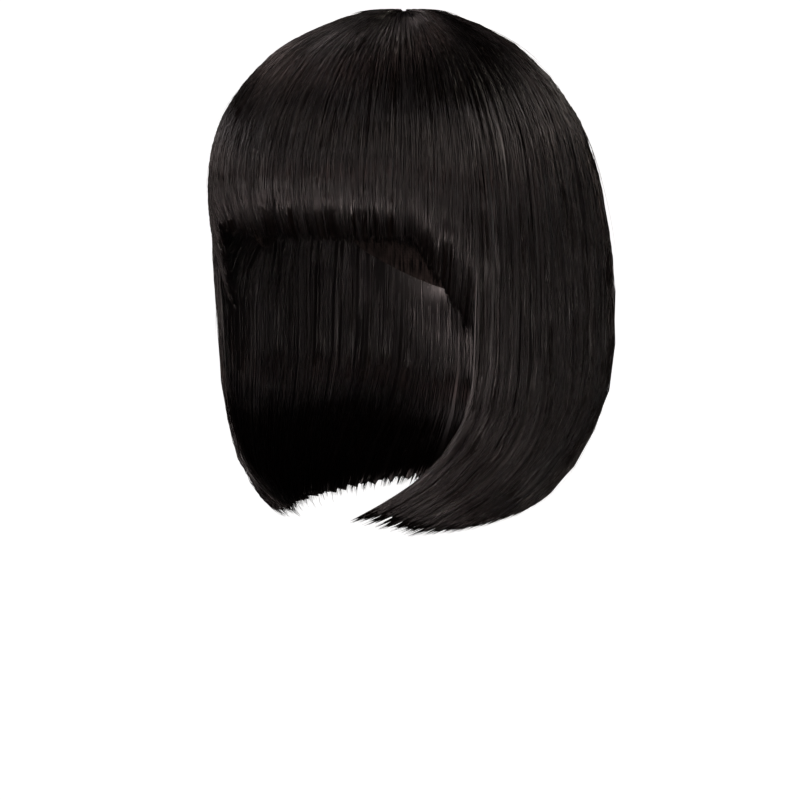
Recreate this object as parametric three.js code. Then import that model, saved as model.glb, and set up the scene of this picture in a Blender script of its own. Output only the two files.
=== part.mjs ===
// A bob wig with a full fringe, in the form it keeps when worn. Millimetres, +Z up. The fringe is towards
// -Y and the wearer's left is +X. The origin is the highest point inside the cap, which is what holds the
// wig up.
//
// The cap is a thin fitted dome of net. The hair is combed out from a whorl on the crown and lies in four
// masses, parted along its comb lines: fringe, left side, right side and back. Each mass is one closed
// body with locks outside and a smooth backing inside, which seats on the cap and hangs free below the
// cap's rim.
import * as THREE from "three";

// Cap, inside
const CAP_WIDTH = 150;
const CAP_LENGTH = 190;
const CAP_RISE = 80; // widest level up to the origin
const CAP_DEPTH = 148; // origin down to the rim at the nape
const CAP_WALL = 1.2;
const CAP_TUCK = 5; // how far the wall draws in towards the nape

// Hair, outside
const SIDE_BODY = 29; // how far the hair stands out beyond the inside of the cap, each side
const FRONT_BODY = 15;
const BACK_BODY = 49;
const CROWN_HEIGHT = 15;
const HAIR_DROP = 262; // origin down to the lowest ends
const SQUARENESS = 2.15; // exponent of the level outline, 2 for an ellipse

// Hair, where it is cut
const FRINGE_DROP = 101;
const TEMPLE_DROP = 150; // longest hair in front of the side hair
const FRONT_TIP_RISE = 12; // lowest ends up to those of the front edge
const SIDE_RISE = 3;
const NAPE_RISE = 6;
const FRONT_TIP_ANGLE = 30; // from the front edge round to where the cut is down to the side's
const FRINGE_NOTCH = 3.5; // how much shorter the hair is between two locks
const HEM_NOTCH = 7;

// Hair, how it is combed. Angles are in degrees round the whorl from the middle of the fringe.
const WHORL_BACK = 8; // origin back to the whorl
const WHORL_RADIUS = 6;
const WHORL_LIP = 0.6; // how far its rim stands up
const WHORL_DIMPLE = 1.2; // how far its middle dips
const FRINGE_ANGLE = 39; // end of the straight part of the fringe
const EDGE_ANGLE = 58; // front edge of the side hair
const BACK_ANGLE = 115; // where the back hair starts
const SWEEP_ANGLE = 42; // how far the curled ends come forward
const SWEEP_START = 0.7; // share of its length where a lock starts to come forward
const SWEEP_FADE_ANGLE = 60; // from full sweep round to the nape, which has none
const FRINGE_TUCK = 4; // how far the ends of the fringe turn in
const TUCK_START = 0.6; // share of its length where the fringe starts to turn in

// Hair, how thick it hangs
const FRINGE_DEPTH = 9;
const SIDE_DEPTH = 20;
const BACK_DEPTH = 38;
const EDGE_DEPTH = 5; // along the front edge
const FEATHER_ANGLE = 20; // from the front edge to the side's full depth
const SIDE_DEPTH_END = 90; // comb angle where the depth starts to grow to that of the back
const BACK_DEPTH_START = 150; // and where it has reached it
const ENDS_DEPTH = 0.5; // share of the depth that is left at the cut ends
const THINNEST = 2;
const RELEASE = 30; // height below the cap's rim over which the hair comes away from it

// Locks
const LOCK_ANGLE = 8; // mean width
const LOCK_DEPTH = 2.4;
const LOCK_START = 0.45; // share of its length over which the grooves beside a lock grow to their full depth

// Fits
const SEAM = 0.4; // between two hair masses
const SEAT = 0.9; // between the cap and the hair that is sewn to it
const NUDGE = 1e-6; // degrees that keep a mass's edge on its own side of EDGE_ANGLE

// Outline of the hair by station, 0 at the whorl and 1 at the lowest ends. drop is a share of the whole
// height, and side, front and back are shares of the reach from the whorl to each.
const OUTLINE = [
  { station: 0.0, drop: 0.01, side: 0.0, front: 0.0, back: 0.0 },
  { station: 0.03, drop: 0.003, side: 0.12, front: 0.12, back: 0.1 },
  { station: 0.08, drop: 0.014, side: 0.28, front: 0.29, back: 0.235 },
  { station: 0.2, drop: 0.084, side: 0.61, front: 0.655, back: 0.49 },
  { station: 0.34, drop: 0.218, side: 0.855, front: 0.92, back: 0.75 },
  { station: 0.5, drop: 0.403, side: 0.955, front: 0.975, back: 0.93 },
  { station: 0.66, drop: 0.6, side: 0.985, front: 0.84, back: 1.0 },
  { station: 0.8, drop: 0.77, side: 0.96, front: 0.785, back: 0.95 },
  { station: 0.9, drop: 0.89, side: 0.85, front: 0.75, back: 0.8 },
  { station: 0.96, drop: 0.957, side: 0.72, front: 0.68, back: 0.66 },
  { station: 1.0, drop: 1.0, side: 0.57, front: 0.58, back: 0.525 },
];

// Rim of the cap by azimuth, its drop as a share of CAP_DEPTH: front, temple, ear tab, cut-out behind it,
// nape.
const CAP_RIM = [
  { azimuth: 0, drop: 0.33 },
  { azimuth: 38, drop: 0.38 },
  { azimuth: 60, drop: 0.62 },
  { azimuth: 76, drop: 0.78 },
  { azimuth: 100, drop: 0.66 },
  { azimuth: 128, drop: 0.86 },
  { azimuth: 155, drop: 0.98 },
  { azimuth: 180, drop: 1.0 },
];

// Locks side by side repeat this pattern: width against the mean, how deep the lock lies as a share of
// LOCK_DEPTH, and how short its end is as a share of the notch.
const LOCK_PATTERN = [
  { width: 1.0, sunk: 0.0, short: 0.0 },
  { width: 0.8, sunk: 0.45, short: 0.55 },
  { width: 1.25, sunk: 0.15, short: 0.2 },
  { width: 0.9, sunk: 0.55, short: 0.75 },
  { width: 1.1, sunk: 0.0, short: 0.1 },
  { width: 0.75, sunk: 0.35, short: 0.6 },
];
const LOCK_SHOULDERS = [0.3, 0.7]; // columns on top of a lock, as shares of its width

const FRINGE_ROWS = 12;
const CURTAIN_ROWS = 20;
const CAP_COLUMNS = 36;
const CAP_ROWS = 11;
const WHORL_SIDES = 24;

const { clamp, degToRad, euclideanModulo, lerp, radToDeg, smoothstep } = THREE.MathUtils;
const smooth = (x) => smoothstep(x, 0, 1);

// One column of a table at x, by a cubic through the rows with slopes from the rows either side.
function column(table, key, name, x) {
  const last = table.length - 1;
  const at = clamp(x, table[0][key], table[last][key]);
  let i = 0;
  while (i < last - 1 && at >= table[i + 1][key]) i++;
  const slope = (j) => {
    const before = table[Math.max(j - 1, 0)];
    const after = table[Math.min(j + 1, last)];
    return (after[name] - before[name]) / (after[key] - before[key]);
  };
  const span = table[i + 1][key] - table[i][key];
  const u = (at - table[i][key]) / span;
  return (
    (2 * u ** 3 - 3 * u ** 2 + 1) * table[i][name] +
    (u ** 3 - 2 * u ** 2 + u) * span * slope(i) +
    (3 * u ** 2 - 2 * u ** 3) * table[i + 1][name] +
    (u ** 3 - u ** 2) * span * slope(i + 1)
  );
}

// Height of the cap's rim at an azimuth in degrees.
function rimHeight(azimuth) {
  const turned = Math.abs(euclideanModulo(azimuth + 180, 360) - 180);
  return -CAP_DEPTH * column(CAP_RIM, "azimuth", "drop", turned);
}

// Point of the cap's inside, or of its outside when wall is added. The angle is 0 at the top and a right
// angle at the widest level, and goes on down the wall below as if that were rolled up.
function capPoint(azimuth, angle, wall) {
  const below = Math.max(angle - Math.PI / 2, 0);
  const round = Math.sin(Math.min(angle, Math.PI / 2));
  const tuck = CAP_TUCK * Math.min(below, 1) ** 2;
  const height = below > 0 ? -CAP_RISE * below : (CAP_RISE + wall) * Math.cos(angle);
  return new THREE.Vector3(
    round * (CAP_WIDTH / 2 + wall - tuck) * Math.sin(degToRad(azimuth)),
    -round * (CAP_LENGTH / 2 + wall - tuck) * Math.cos(degToRad(azimuth)),
    height - CAP_RISE,
  );
}

function rimAngle(azimuth) {
  const above = (rimHeight(azimuth) + CAP_RISE) / CAP_RISE;
  return above > 0 ? Math.acos(above) : Math.PI / 2 - above;
}

// How far out the hair meets the cap, along a ray from the upright line under the whorl. The ray starts
// at the cap's widest level when it climbs, and at any lower level when it is horizontal.
function seatDistance(direction) {
  const clearance = CAP_WALL + SEAT;
  const across = direction.x / (CAP_WIDTH / 2 + clearance);
  const along = direction.y / (CAP_LENGTH / 2 + clearance);
  const up = direction.z / (CAP_RISE + clearance);
  const offset = WHORL_BACK / (CAP_LENGTH / 2 + clearance);
  const square = across ** 2 + along ** 2 + up ** 2;
  return (Math.sqrt((offset * along) ** 2 + square * (1 - offset ** 2)) - offset * along) / square;
}

const heightAt = (station) =>
  CROWN_HEIGHT - column(OUTLINE, "station", "drop", station) * (CROWN_HEIGHT + HAIR_DROP);

// Station at a drop below the origin, found by halving.
function stationAt(drop) {
  let [low, high] = [0, 1];
  for (let step = 0; step < 30; step++) {
    const middle = (low + high) / 2;
    if (heightAt(middle) > -drop) low = middle;
    else high = middle;
  }
  return low;
}

// Outside of the hair before it is parted into locks.
function outsidePoint(azimuth, station) {
  const reach = (size, name) => Math.max(size * column(OUTLINE, "station", name, station), WHORL_RADIUS);
  const [sine, cosine] = [Math.sin(degToRad(azimuth)), Math.cos(degToRad(azimuth))];
  const halfWidth = reach(CAP_WIDTH / 2 + SIDE_BODY, "side");
  const length =
    cosine > 0
      ? reach(CAP_LENGTH / 2 + WHORL_BACK + FRONT_BODY, "front")
      : reach(CAP_LENGTH / 2 - WHORL_BACK + BACK_BODY, "back");
  const power = Math.abs(sine / halfWidth) ** SQUARENESS + Math.abs(cosine / length) ** SQUARENESS;
  const radius = power ** (-1 / SQUARENESS);
  return new THREE.Vector3(radius * sine, WHORL_BACK - radius * cosine, heightAt(station));
}

// How far below the origin the hair that is combed this way is cut.
function cutDrop(comb) {
  const turned = Math.abs(comb);
  if (turned < EDGE_ANGLE) {
    const past = Math.max(turned - FRINGE_ANGLE, 0) / (EDGE_ANGLE - FRINGE_ANGLE);
    return lerp(FRINGE_DROP, TEMPLE_DROP, past);
  }
  const rise = lerp(FRONT_TIP_RISE, SIDE_RISE, smooth((turned - EDGE_ANGLE) / FRONT_TIP_ANGLE));
  return HAIR_DROP - lerp(rise, NAPE_RISE, smooth((turned - BACK_ANGLE) / (180 - BACK_ANGLE)));
}

// The curled ends come forward at the sides, less towards the nape, where they hang straight.
function sweep(comb, share) {
  const turned = Math.abs(comb);
  if (turned < EDGE_ANGLE) return 0;
  const late = Math.max(share - SWEEP_START, 0) / (1 - SWEEP_START);
  return -Math.sign(comb) * SWEEP_ANGLE * smooth((180 - turned) / SWEEP_FADE_ANGLE) * late ** 3;
}

// How thick the hair hangs where it is clear of the cap.
function hangDepth(comb, share) {
  const turned = Math.abs(comb);
  const taper = lerp(1, ENDS_DEPTH, smooth((share - SWEEP_START) / (1 - SWEEP_START)));
  if (turned < EDGE_ANGLE) return FRINGE_DEPTH * taper;
  const behind = smooth((turned - SIDE_DEPTH_END) / (BACK_DEPTH_START - SIDE_DEPTH_END));
  const body = lerp(SIDE_DEPTH, BACK_DEPTH, behind);
  return lerp(EDGE_DEPTH, body, smooth((turned - EDGE_ANGLE) / FEATHER_ANGLE)) * taper;
}

// One line of a mass along the comb, from the whorl to the cut end: its outside and the backing behind
// it. `sunk` puts the outside deeper and `short` cuts it higher, both in millimetres, and `aside` shifts
// the line sideways.
function combLine(angle, sunk, short, aside, rows) {
  const comb = euclideanModulo(angle + 180, 360) - 180;
  const whole = stationAt(cutDrop(comb));
  const end = stationAt(cutDrop(comb) - short);
  const outside = [];
  const backing = [];
  for (let row = 0; row <= rows; row++) {
    const station = (end * row) / rows;
    const share = station / whole;
    const azimuth = comb + sweep(comb, share);
    const straight = outsidePoint(azimuth, station);
    const shift = radToDeg(aside / Math.hypot(straight.x, straight.y - WHORL_BACK));
    const point = outsidePoint(azimuth + shift, station);
    const centre = new THREE.Vector3(0, WHORL_BACK, Math.min(point.z, -CAP_RISE));
    const ray = point.clone().sub(centre);
    const full = ray.length();
    ray.normalize();
    const turnedIn = smooth((share - TUCK_START) / (1 - TUCK_START)) ** 2;
    const tuck = Math.abs(comb) < EDGE_ANGLE ? FRINGE_TUCK * turnedIn : 0;
    const top = full - tuck - sunk * smooth(share / LOCK_START);
    const hung = smooth((rimHeight(azimuth) - point.z) / RELEASE);
    const depth = lerp(seatDistance(ray), full - tuck - hangDepth(comb, share), hung);
    outside.push(centre.clone().addScaledVector(ray, top));
    backing.push(centre.clone().addScaledVector(ray, Math.min(depth, top - THINNEST)));
  }
  return { outside, backing };
}

// Columns of a mass between two comb angles: a valley, then the two shoulders of a lock, and so on to a
// valley.
function lockColumns(start, end, notch) {
  const count = Math.round((end - start) / LOCK_ANGLE);
  const locks = Array.from({ length: count }, (_, i) => LOCK_PATTERN[i % LOCK_PATTERN.length]);
  const total = locks.reduce((sum, lock) => sum + lock.width, 0);
  const columns = [];
  let angle = start;
  for (const lock of locks) {
    const width = ((end - start) * lock.width) / total;
    columns.push({ angle, sunk: LOCK_DEPTH, short: notch });
    for (const shoulder of LOCK_SHOULDERS) {
      columns.push({
        angle: angle + width * shoulder,
        sunk: LOCK_DEPTH * lock.sunk * shoulder,
        short: notch * lock.short,
      });
    }
    angle += width;
  }
  columns.push({ angle: end, sunk: LOCK_DEPTH, short: notch });
  return columns;
}

// Closed body between an outer and an inner sheet of points, sheet[column][row], columns counted
// anticlockwise from above and rows downwards. `closed` joins the last column to the first and the first
// row into one point.
function shellGeometry(outer, inner, closed = false) {
  const last = outer[0].length - 1;
  const points = [];
  const index = [];
  const number = (sheet) => {
    const top = closed ? points.push(sheet[0][0]) - 1 : null;
    return sheet.map((line) => line.map((point, row) => (closed && row === 0 ? top : points.push(point) - 1)));
  };
  const triangle = (a, b, c) => {
    if (a !== b && b !== c && c !== a) index.push(a, b, c);
  };
  const quad = (a, b, c, d) => {
    triangle(a, b, c);
    triangle(a, c, d);
  };
  const front = number(outer);
  const behind = number(inner);
  const spans = closed ? outer.length : outer.length - 1;
  for (let i = 0; i < spans; i++) {
    const j = (i + 1) % outer.length;
    for (let row = 0; row < last; row++) {
      quad(front[i][row], front[i][row + 1], front[j][row + 1], front[j][row]);
      quad(behind[i][row], behind[j][row], behind[j][row + 1], behind[i][row + 1]);
    }
    quad(front[j][last], front[i][last], behind[i][last], behind[j][last]);
    if (!closed) quad(front[i][0], front[j][0], behind[j][0], behind[i][0]);
  }
  if (!closed) {
    // Both edges are split along the same diagonal, so that two masses fit where their common edge is
    // twisted.
    const end = outer.length - 1;
    for (let row = 0; row < last; row++) {
      quad(front[0][row + 1], front[0][row], behind[0][row], behind[0][row + 1]);
      quad(front[end][row + 1], behind[end][row + 1], behind[end][row], front[end][row]);
    }
  }
  const geometry = new THREE.BufferGeometry().setFromPoints(points);
  geometry.setIndex(index);
  geometry.computeVertexNormals();
  return geometry;
}

function hairMass(start, end, rows, notch) {
  const columns = lockColumns(start, end, notch);
  const hair = columns.map(({ angle, sunk, short }, i) => {
    const aside = i === 0 ? SEAM / 2 : i === columns.length - 1 ? -SEAM / 2 : 0;
    return combLine(clamp(angle, start + NUDGE, end - NUDGE), sunk, short, aside, rows);
  });
  return shellGeometry(
    hair.map((line) => line.outside),
    hair.map((line) => line.backing),
  );
}

function capGeometry() {
  const sheet = (wall) =>
    Array.from({ length: CAP_COLUMNS }, (_, i) => {
      const azimuth = (i / CAP_COLUMNS) * 360;
      const line = Array.from({ length: CAP_ROWS + 1 }, (_, row) => (rimAngle(azimuth) * row) / CAP_ROWS);
      return line.map((angle) => capPoint(azimuth, angle, wall));
    });
  return shellGeometry(sheet(CAP_WALL), sheet(0), true);
}

// Gathered roots that the four masses are combed out from, tapered to their feet, with a shallow dimple
// on top.
function whorlGeometry() {
  const top = heightAt(0);
  const foot = CAP_WALL + SEAM;
  const radius = WHORL_RADIUS - SEAM;
  const profile = [
    [0, foot],
    [(radius * (foot + CAP_RISE)) / (top + CAP_RISE), foot],
    [radius, top],
    [radius * 0.7, top + WHORL_LIP],
    [radius * 0.35, top - WHORL_DIMPLE / 3],
    [0, top - WHORL_DIMPLE],
  ].map(([out, height]) => new THREE.Vector2(out, height));
  return new THREE.LatheGeometry(profile, WHORL_SIDES).rotateX(Math.PI / 2).translate(0, WHORL_BACK, 0);
}

const hair = new THREE.MeshStandardMaterial({ color: 0x0d0b0b, roughness: 0.38, metalness: 0 });
const net = new THREE.MeshStandardMaterial({ color: 0x141213, roughness: 0.85, metalness: 0 });

const pieces = [
  ["cap", capGeometry(), net],
  ["crown_whorl", whorlGeometry(), hair],
  ["fringe", hairMass(-EDGE_ANGLE, EDGE_ANGLE, FRINGE_ROWS, FRINGE_NOTCH), hair],
  ["left_side", hairMass(EDGE_ANGLE, BACK_ANGLE, CURTAIN_ROWS, HEM_NOTCH), hair],
  ["right_side", hairMass(-BACK_ANGLE, -EDGE_ANGLE, CURTAIN_ROWS, HEM_NOTCH), hair],
  ["back", hairMass(BACK_ANGLE, 360 - BACK_ANGLE, CURTAIN_ROWS, HEM_NOTCH), hair],
];

const wig = new THREE.Group();
for (const [name, geometry, material] of pieces) {
  const mesh = new THREE.Mesh(geometry, material);
  mesh.name = name;
  wig.add(mesh);
}

export default wig;
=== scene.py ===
import math

import bmesh
import bpy
import numpy as np
from mathutils import Matrix, Vector


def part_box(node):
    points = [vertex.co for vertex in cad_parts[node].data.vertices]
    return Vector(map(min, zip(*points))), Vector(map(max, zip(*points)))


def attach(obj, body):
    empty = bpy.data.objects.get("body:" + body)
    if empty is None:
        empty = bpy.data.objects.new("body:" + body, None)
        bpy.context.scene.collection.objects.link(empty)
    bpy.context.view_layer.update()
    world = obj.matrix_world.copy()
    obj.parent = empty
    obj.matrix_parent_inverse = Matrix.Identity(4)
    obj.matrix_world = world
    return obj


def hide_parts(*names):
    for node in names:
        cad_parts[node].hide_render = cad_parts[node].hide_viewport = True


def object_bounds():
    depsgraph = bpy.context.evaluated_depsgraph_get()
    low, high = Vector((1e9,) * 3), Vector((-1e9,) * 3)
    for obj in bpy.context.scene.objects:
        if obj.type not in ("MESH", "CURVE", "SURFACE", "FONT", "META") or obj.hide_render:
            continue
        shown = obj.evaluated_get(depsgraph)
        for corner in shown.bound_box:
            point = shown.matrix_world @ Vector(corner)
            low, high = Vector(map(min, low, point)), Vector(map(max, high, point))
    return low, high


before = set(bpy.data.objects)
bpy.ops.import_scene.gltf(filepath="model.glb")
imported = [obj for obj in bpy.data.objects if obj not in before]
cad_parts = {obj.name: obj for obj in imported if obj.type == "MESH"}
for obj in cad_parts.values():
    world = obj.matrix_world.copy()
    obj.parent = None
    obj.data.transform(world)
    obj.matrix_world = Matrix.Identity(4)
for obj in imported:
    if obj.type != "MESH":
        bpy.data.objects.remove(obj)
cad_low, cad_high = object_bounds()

# Camera
# It looks from the wearer's front left and a little above, and puts the whorl where the photograph has it.
AZIMUTH = math.radians(37)
ELEVATION = math.radians(9)
DISTANCE = 1.6
IMAGE_PIXELS = 800
PIXELS_PER_METRE = 1860
WHORL_PIXEL = (404, 9)
CROWN_HEIGHT = 0.015
SENSOR = 36  # millimetres

whorl_low, whorl_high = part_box("crown_whorl")
whorl_y = (whorl_low.y + whorl_high.y) / 2
towards = Vector((
    math.sin(AZIMUTH) * math.cos(ELEVATION),
    -math.cos(AZIMUTH) * math.cos(ELEVATION),
    math.sin(ELEVATION),
))
rightwards = Vector((math.cos(AZIMUTH), math.sin(AZIMUTH), 0))
upwards = towards.cross(rightwards)
target = (
    Vector((0, whorl_y, CROWN_HEIGHT))
    - rightwards * (WHORL_PIXEL[0] - IMAGE_PIXELS / 2) / PIXELS_PER_METRE
    - upwards * (IMAGE_PIXELS / 2 - WHORL_PIXEL[1]) / PIXELS_PER_METRE
)
camera_data = bpy.data.cameras.new("camera")
camera_data.sensor_width = SENSOR
camera_data.lens = SENSOR * PIXELS_PER_METRE * DISTANCE / IMAGE_PIXELS
camera = bpy.data.objects.new("camera", camera_data)
camera.matrix_world = Matrix.Translation(target + towards * DISTANCE) @ Matrix((
    (rightwards.x, upwards.x, towards.x, 0),
    (rightwards.y, upwards.y, towards.y, 0),
    (rightwards.z, upwards.z, towards.z, 0),
    (0, 0, 0, 1),
))
bpy.context.scene.collection.objects.link(camera)
bpy.context.scene.camera = camera

# Floor
# A white studio sweep well below the wig, which is held up at the top of its cap as it is when worn. Its
# cloth is carried up all round and closed overhead, as a light tent is. It is lit evenly by itself and
# lights nothing else, so the black fibre keeps its depth.
FLOOR_DROP = 1.2  # from the lowest hair down to the floor
TENT_RADIUS = 6.0
TENT_HEIGHT = 8.0
TENT_SQUARENESS = 6
TENT_COLUMNS = 48
TENT_ROWS = 33
FLOOR_HEX = "#f4f3f1"
FLOOR_ROUGHNESS = 0.9
FLOOR_GLOW = 1.0


def linear(code):
    """Linear RGBA of an sRGB hex code."""
    channels = np.array([int(code[i:i + 2], 16) for i in (1, 3, 5)]) / 255
    low = channels / 12.92
    high = ((channels + 0.055) / 1.055) ** 2.4
    return (*np.where(channels <= 0.04045, low, high), 1)


def add(material, kind, links=(), **settings):
    """One shader node with its properties or socket values, and its links as (from node, output, input)."""
    node = material.node_tree.nodes.new(kind)
    for name, value in settings.items():
        if hasattr(node, name):
            setattr(node, name, value)
        else:
            node.inputs[name.replace("_", " ")].default_value = value
    for source, output, socket in links:
        material.node_tree.links.new(source.outputs[output], node.inputs[socket])
    return node


def new_material(name):
    """A material with an empty shader, to be filled by add."""
    material = bpy.data.materials.new(name)
    material.use_nodes = True
    material.node_tree.nodes.clear()
    return material


def finish_material(material, surface):
    """Links the last shader node to the material's output."""
    output = material.node_tree.nodes.new("ShaderNodeOutputMaterial")
    material.node_tree.links.new(surface.outputs[0], output.inputs["Surface"])


def tent_grid(columns, rows):
    """Points of a squared ellipse turned about the upright axis, flat below and above with rounded
    corners, from the middle of the floor up the wall to the middle of the top."""
    turns = np.linspace(0, 2 * np.pi, columns + 1)[:-1]
    turn, climb = np.meshgrid(turns, np.linspace(0, np.pi, rows), indexing="ij")
    radius = TENT_RADIUS * np.clip(np.sin(climb), 0, 1) ** (2 / TENT_SQUARENESS)
    height = np.sign(-np.cos(climb)) * np.abs(np.cos(climb)) ** (2 / TENT_SQUARENESS)
    return np.stack([
        radius * np.cos(turn),
        radius * np.sin(turn),
        cad_low.z - FLOOR_DROP + (1 + height) * TENT_HEIGHT / 2,
    ], -1)


tent = tent_grid(TENT_COLUMNS, TENT_ROWS)
tent_ids = np.arange(TENT_COLUMNS * TENT_ROWS).reshape(TENT_COLUMNS, TENT_ROWS)
tent_next = np.roll(tent_ids, -1, axis=0)
tent_faces = np.stack([
    tent_ids[:, :-1],
    tent_ids[:, 1:],
    tent_next[:, 1:],
    tent_next[:, :-1],
], -1)
floor_mesh = bpy.data.meshes.new("floor")
floor_mesh.from_pydata(tent.reshape(-1, 3).tolist(), [], tent_faces.reshape(-1, 4).tolist())
# Matt cloth that glows evenly shows the same clean white at every angle, with no horizon and no shadow.
floor_paint = new_material("matt_white_floor")
floor_base = add(
    floor_paint,
    "ShaderNodeBsdfPrincipled",
    Base_Color=linear(FLOOR_HEX),
    Roughness=FLOOR_ROUGHNESS,
    Emission_Color=(1, 1, 1, 1),
    Emission_Strength=FLOOR_GLOW,
)
finish_material(floor_paint, floor_base)
floor_mesh.materials.append(floor_paint)
floor = bpy.data.objects.new("floor", floor_mesh)
floor.visible_diffuse = False
floor.visible_glossy = False
bpy.context.scene.collection.objects.link(floor)

# Lights
# Wide, low soft boxes all round, most of them dim. The low front ones lay the bright band across the
# fringe, the low left ones light the hair that hangs straight down, and those beside, behind and high up
# rim the crown. The room itself is dark.
LIGHTS = [
    # name, azimuth and elevation in degrees, width, height, watts, colour
    ("front", 15, 10, 0.8, 0.5, 4.0, "#ffd8d2"),
    ("front_mid", 15, 25, 0.8, 0.5, 2.6, "#fff4f4"),
    ("front_low", 18, -20, 0.8, 0.15, 10.0, "#ffebe8"),
    ("left_front_low", 44, -6, 0.8, 0.1, 3.2, "#fff0ea"),
    ("left_front", 65, 10, 0.8, 0.2, 2.4, "#fffaf8"),
    ("left_low", 95, -16, 0.8, 0.12, 1.6, "#fff2ea"),
    ("left_below", 115, -38, 0.8, 0.2, 3.6, "#ffece4"),
    ("left", 90, 25, 0.8, 0.5, 8.0, "#ffeee6"),
    ("left_high", 70, 40, 0.8, 0.5, 3.6, "#ffe8de"),
    ("left_back_high", 115, 40, 0.8, 0.5, 4.0, "#fff4f4"),
    ("left_back", 130, 28, 0.8, 0.5, 5.5, "#fff0ea"),
    ("back", 170, 10, 0.8, 0.5, 2.0, "#ffe4d4"),
    ("back_high", 170, 25, 0.8, 0.5, 2.4, "#fff3e2"),
    ("right_front_low", -12, -5, 0.8, 0.4, 7.5, "#ffefec"),
    ("right_low", -12, -16, 0.8, 0.3, 4.5, "#ffe4e2"),
    ("right", -60, 10, 0.8, 0.5, 5.5, "#fff0ec"),
    ("right_mid", -65, 24, 0.8, 0.5, 5.5, "#fff2f2"),
    ("right_front_high", -40, 52, 0.8, 0.5, 1.0, "#fff4f4"),
    ("right_high", -85, 56, 0.8, 0.5, 3.2, "#ffdcd4"),
    ("right_back", -115, 40, 0.8, 0.5, 3.2, "#ffecea"),
]
LIGHT_DISTANCE = 2.0
ROOM = 0.002

middle = (cad_low + cad_high) / 2
for name, azimuth, elevation, width, height, watts, colour in LIGHTS:
    data = bpy.data.lights.new(name, "AREA")
    data.shape = "RECTANGLE"
    data.size = width
    data.size_y = height
    data.energy = watts
    data.color = linear(colour)[:3]
    light = bpy.data.objects.new(name, data)
    turn, climb = math.radians(azimuth), math.radians(elevation)
    direction = Vector((
        math.sin(turn) * math.cos(climb),
        -math.cos(turn) * math.cos(climb),
        math.sin(climb),
    ))
    light.location = middle + direction * LIGHT_DISTANCE
    light.rotation_euler = direction.to_track_quat("Z", "Y").to_euler()
    bpy.context.scene.collection.objects.link(light)

world = bpy.data.worlds.new("studio")
world.use_nodes = True
world.node_tree.nodes["Background"].inputs["Color"].default_value = (1, 1, 1, 1)
world.node_tree.nodes["Background"].inputs["Strength"].default_value = ROOM
bpy.context.scene.world = world
bpy.context.scene.view_settings.view_transform = "Standard"

# Cap
# A thin dome of black stretch net that the hair is sewn to in rows, warp-knitted from polyamide with an
# open mesh. Its rim is bound with a narrow elastic band, and dips at the sides and the back.
CAP_WIDTH = 0.150
CAP_LENGTH = 0.190
CAP_RISE = 0.080
CAP_DEPTH = -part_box("cap")[0].z
CAP_WALL = 0.0012
CAP_TUCK = 0.005
CAP_RIM = {
    "azimuth": [0, 38, 60, 76, 100, 128, 155, 180],
    "drop": [0.33, 0.38, 0.62, 0.78, 0.66, 0.86, 0.98, 1.0],
}
RIM_BAND = 0.009  # height of the elastic band
RIM_BULGE = 0.0005
RIM_STEP = 0.001
WEFT_SPACING = 0.011
WEFT_BULGE = 0.0007
WEFT_WIDTH = 0.12  # of a sewn row, as a share of the spacing
CAP_COLUMNS = 120
CAP_ROWS = 64
CAP_FIRST_SHARE = 0.0002  # of the way to the rim, where the first ring of the grid stands round the top
CAP_WELD = 0.0002  # points of that ring that are nearer than this become one
NET_SPACING = 0.0016  # of the mesh, drawn twice as coarse as the real one, which would not show
WAVE_BANDS = 20 / (2 * math.pi)  # bands in one unit of Blender's wave texture at a scale of 1
NET_DARK = "#020202"
NET_LIGHT = "#453e3b"
NET_STREAKS = (900, 900, 40)  # streaks in a metre of the hair seen through the net
OPEN_NET_TONE = 0.15  # of the mesh between the rows, where 1 is the tone of a sewn row
BAND_TONE = 0.6


def column(table, key, name, x):
    """A table's column at x: a cubic through its rows, with slopes from the rows on either side."""
    at, value = np.array(table[key], float), np.array(table[name], float)
    slope = np.empty_like(value)
    slope[1:-1] = (value[2:] - value[:-2]) / (at[2:] - at[:-2])
    slope[0] = (value[1] - value[0]) / (at[1] - at[0])
    slope[-1] = (value[-1] - value[-2]) / (at[-1] - at[-2])
    x = np.clip(x, at[0], at[-1])
    i = np.clip(np.searchsorted(at, x, side="right") - 1, 0, len(at) - 2)
    span = at[i + 1] - at[i]
    u = (x - at[i]) / span
    return (
        (2 * u**3 - 3 * u**2 + 1) * value[i]
        + (u**3 - 2 * u**2 + u) * span * slope[i]
        + (3 * u**2 - 2 * u**3) * value[i + 1]
        + (u**3 - u**2) * span * slope[i + 1]
    )


def smooth(x):
    """An S-shaped step from 0 to 1: 3x squared less 2x cubed, held flat outside."""
    x = np.clip(x, 0, 1)
    return x * x * (3 - 2 * x)


def wrapped(degrees):
    """The same direction between -180 and 180 degrees."""
    return (np.asarray(degrees, float) + 180) % 360 - 180


def rim_height(azimuth):
    """Height of the cap's rim: its depth times the rim table's share at that azimuth."""
    return -CAP_DEPTH * column(CAP_RIM, "azimuth", "drop", np.abs(wrapped(azimuth)))


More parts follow.
